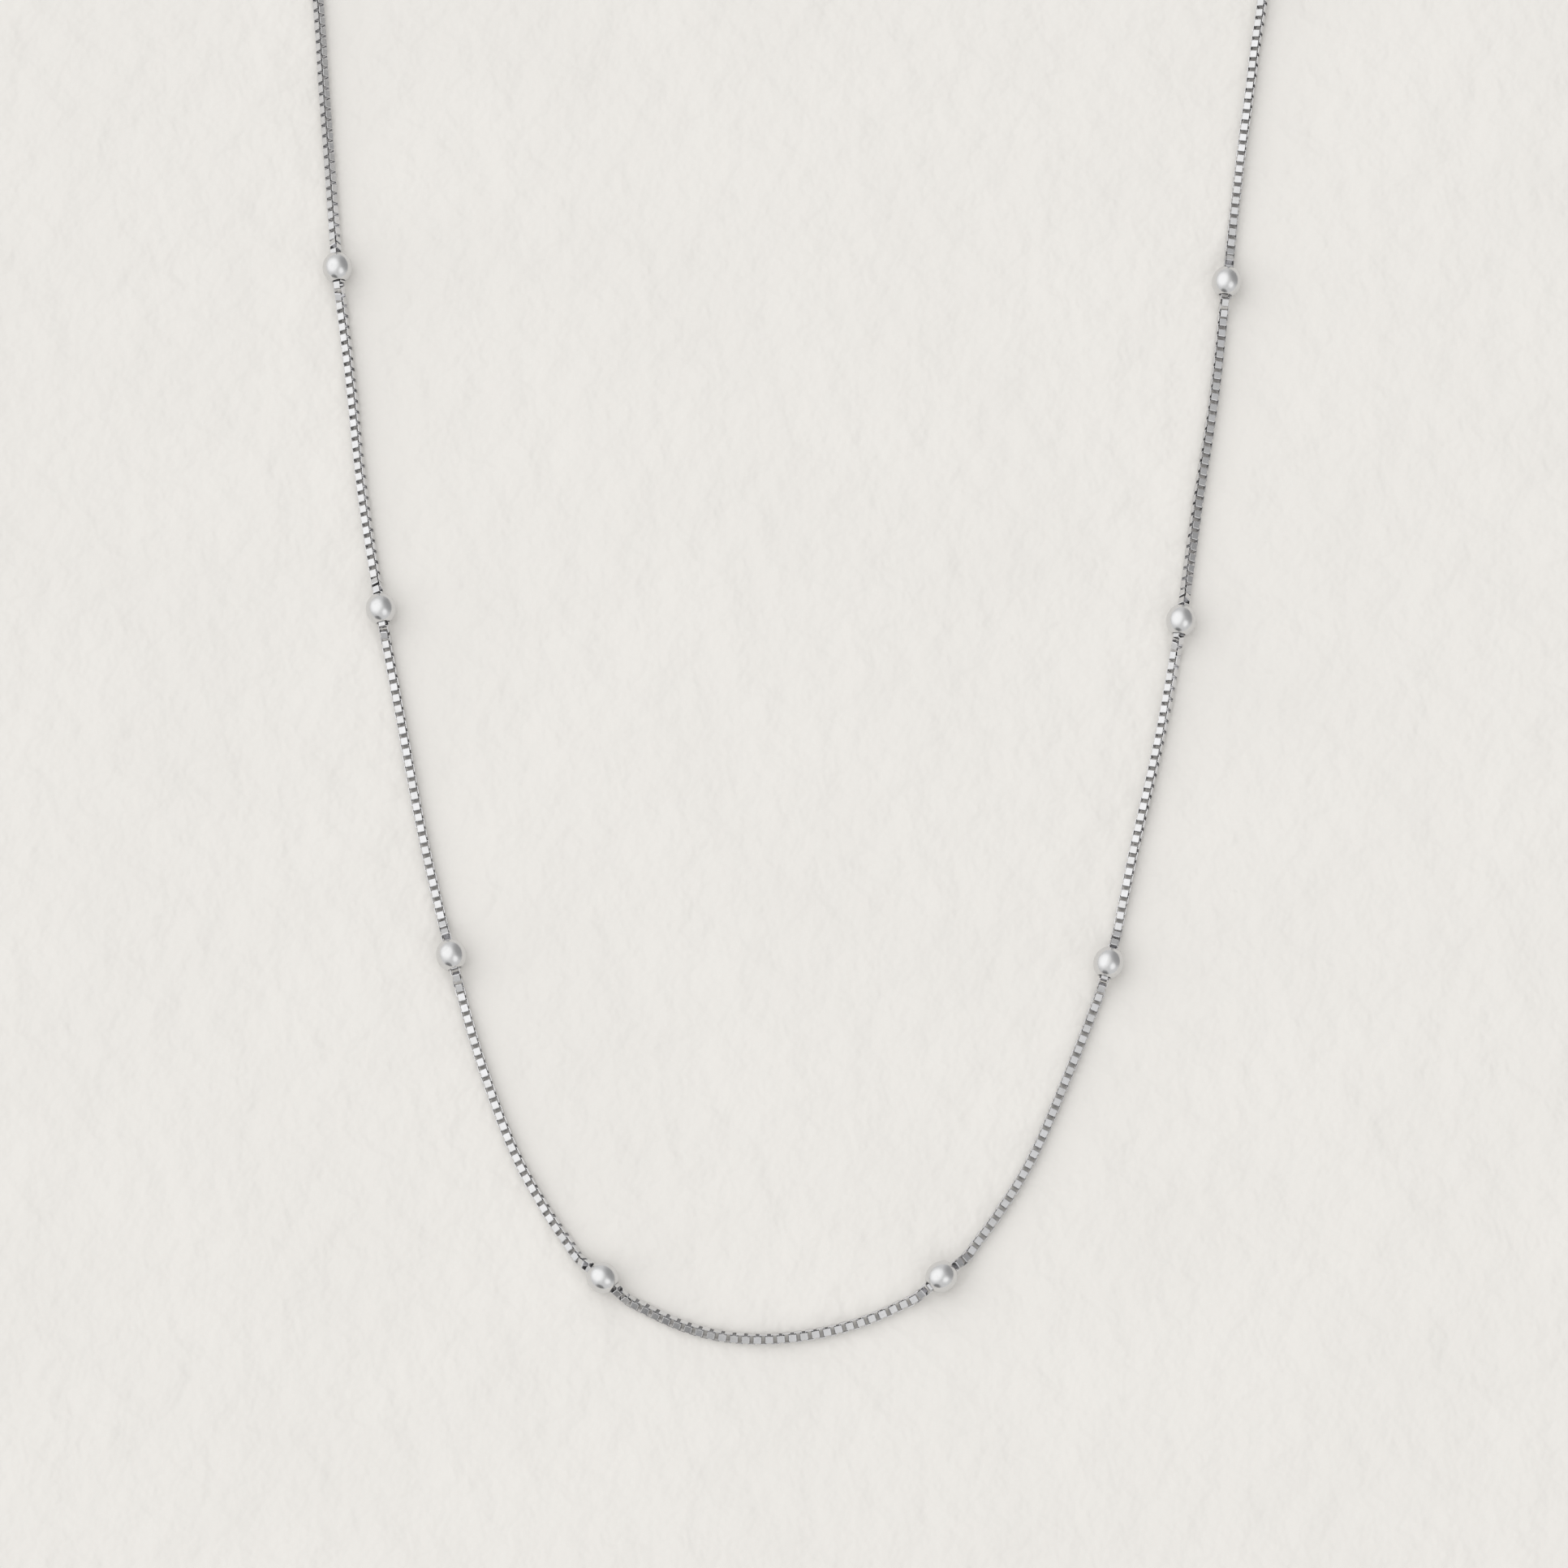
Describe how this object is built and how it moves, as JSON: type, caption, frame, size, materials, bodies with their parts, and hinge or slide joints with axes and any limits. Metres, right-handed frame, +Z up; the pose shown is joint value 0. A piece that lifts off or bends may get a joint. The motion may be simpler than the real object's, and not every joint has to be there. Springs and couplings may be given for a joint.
{
  "type": "box chain necklace with round beads",
  "caption": "Fine box chain necklace with evenly spaced round polished beads, fastened by a plain clasp and laid flat in a long loop.",
  "frame": {"origin": "on the surface that the necklace lies on, under the middle of its box", "axes": "+Z up from the surface; +Y along the loop's length, from the bottom bend to the clasp; +X to the right seen from above, across the loop"},
  "size_m": [0.0994, 0.1824, 0.003],
  "materials": {
    "chain_silver": "polished silver plate with soft wear in the strips' bends",
    "bead_silver": "polished silver with fine handling scratches",
    "clasp_silver": "polished cast silver"
  },
  "bodies": {
    "root": {"chain_left": "chain_silver", "chain_right": "chain_silver", "end_cap_left": "clasp_silver", "end_cap_right": "clasp_silver", "clasp": "clasp_silver", "bead_01": "bead_silver", "bead_02": "bead_silver", "bead_03": "bead_silver", "bead_04": "bead_silver", "bead_05": "bead_silver", "bead_06": "bead_silver", "bead_07": "bead_silver", "bead_08": "bead_silver", "bead_09": "bead_silver", "bead_10": "bead_silver", "bead_11": "bead_silver", "bead_12": "bead_silver"}
  },
  "joints": []
}
